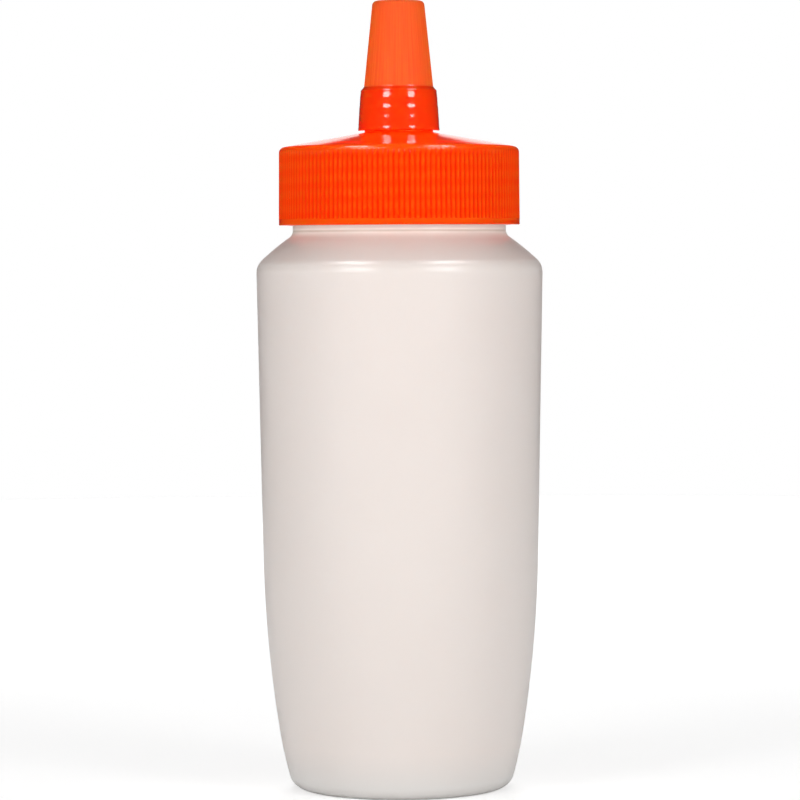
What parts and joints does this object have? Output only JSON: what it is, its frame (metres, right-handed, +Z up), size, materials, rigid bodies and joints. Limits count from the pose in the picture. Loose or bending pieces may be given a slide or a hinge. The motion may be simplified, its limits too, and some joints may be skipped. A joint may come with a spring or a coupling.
{
  "type": "honey dispenser bottle",
  "caption": "Round squeeze bottle in translucent plastic with a fluted orange screw cap, a hollow nozzle and a tapered tip cap.",
  "frame": {"origin": "middle of the flat ring that the bottle stands on", "axes": "+Z up along the bottle's axis, towards the tip cap; the part is round, so X and Y are free"},
  "size_m": [0.073, 0.0729, 0.2007],
  "materials": {
    "bottle": "translucent natural polyethylene, satin",
    "screw_cap": "glossy orange polypropylene",
    "tip_cap": "orange polyethylene, glossy skirt and satin cone"
  },
  "bodies": {
    "root": {"bottle": "bottle", "screw_cap": "screw_cap", "tip_cap": "tip_cap"}
  },
  "joints": []
}
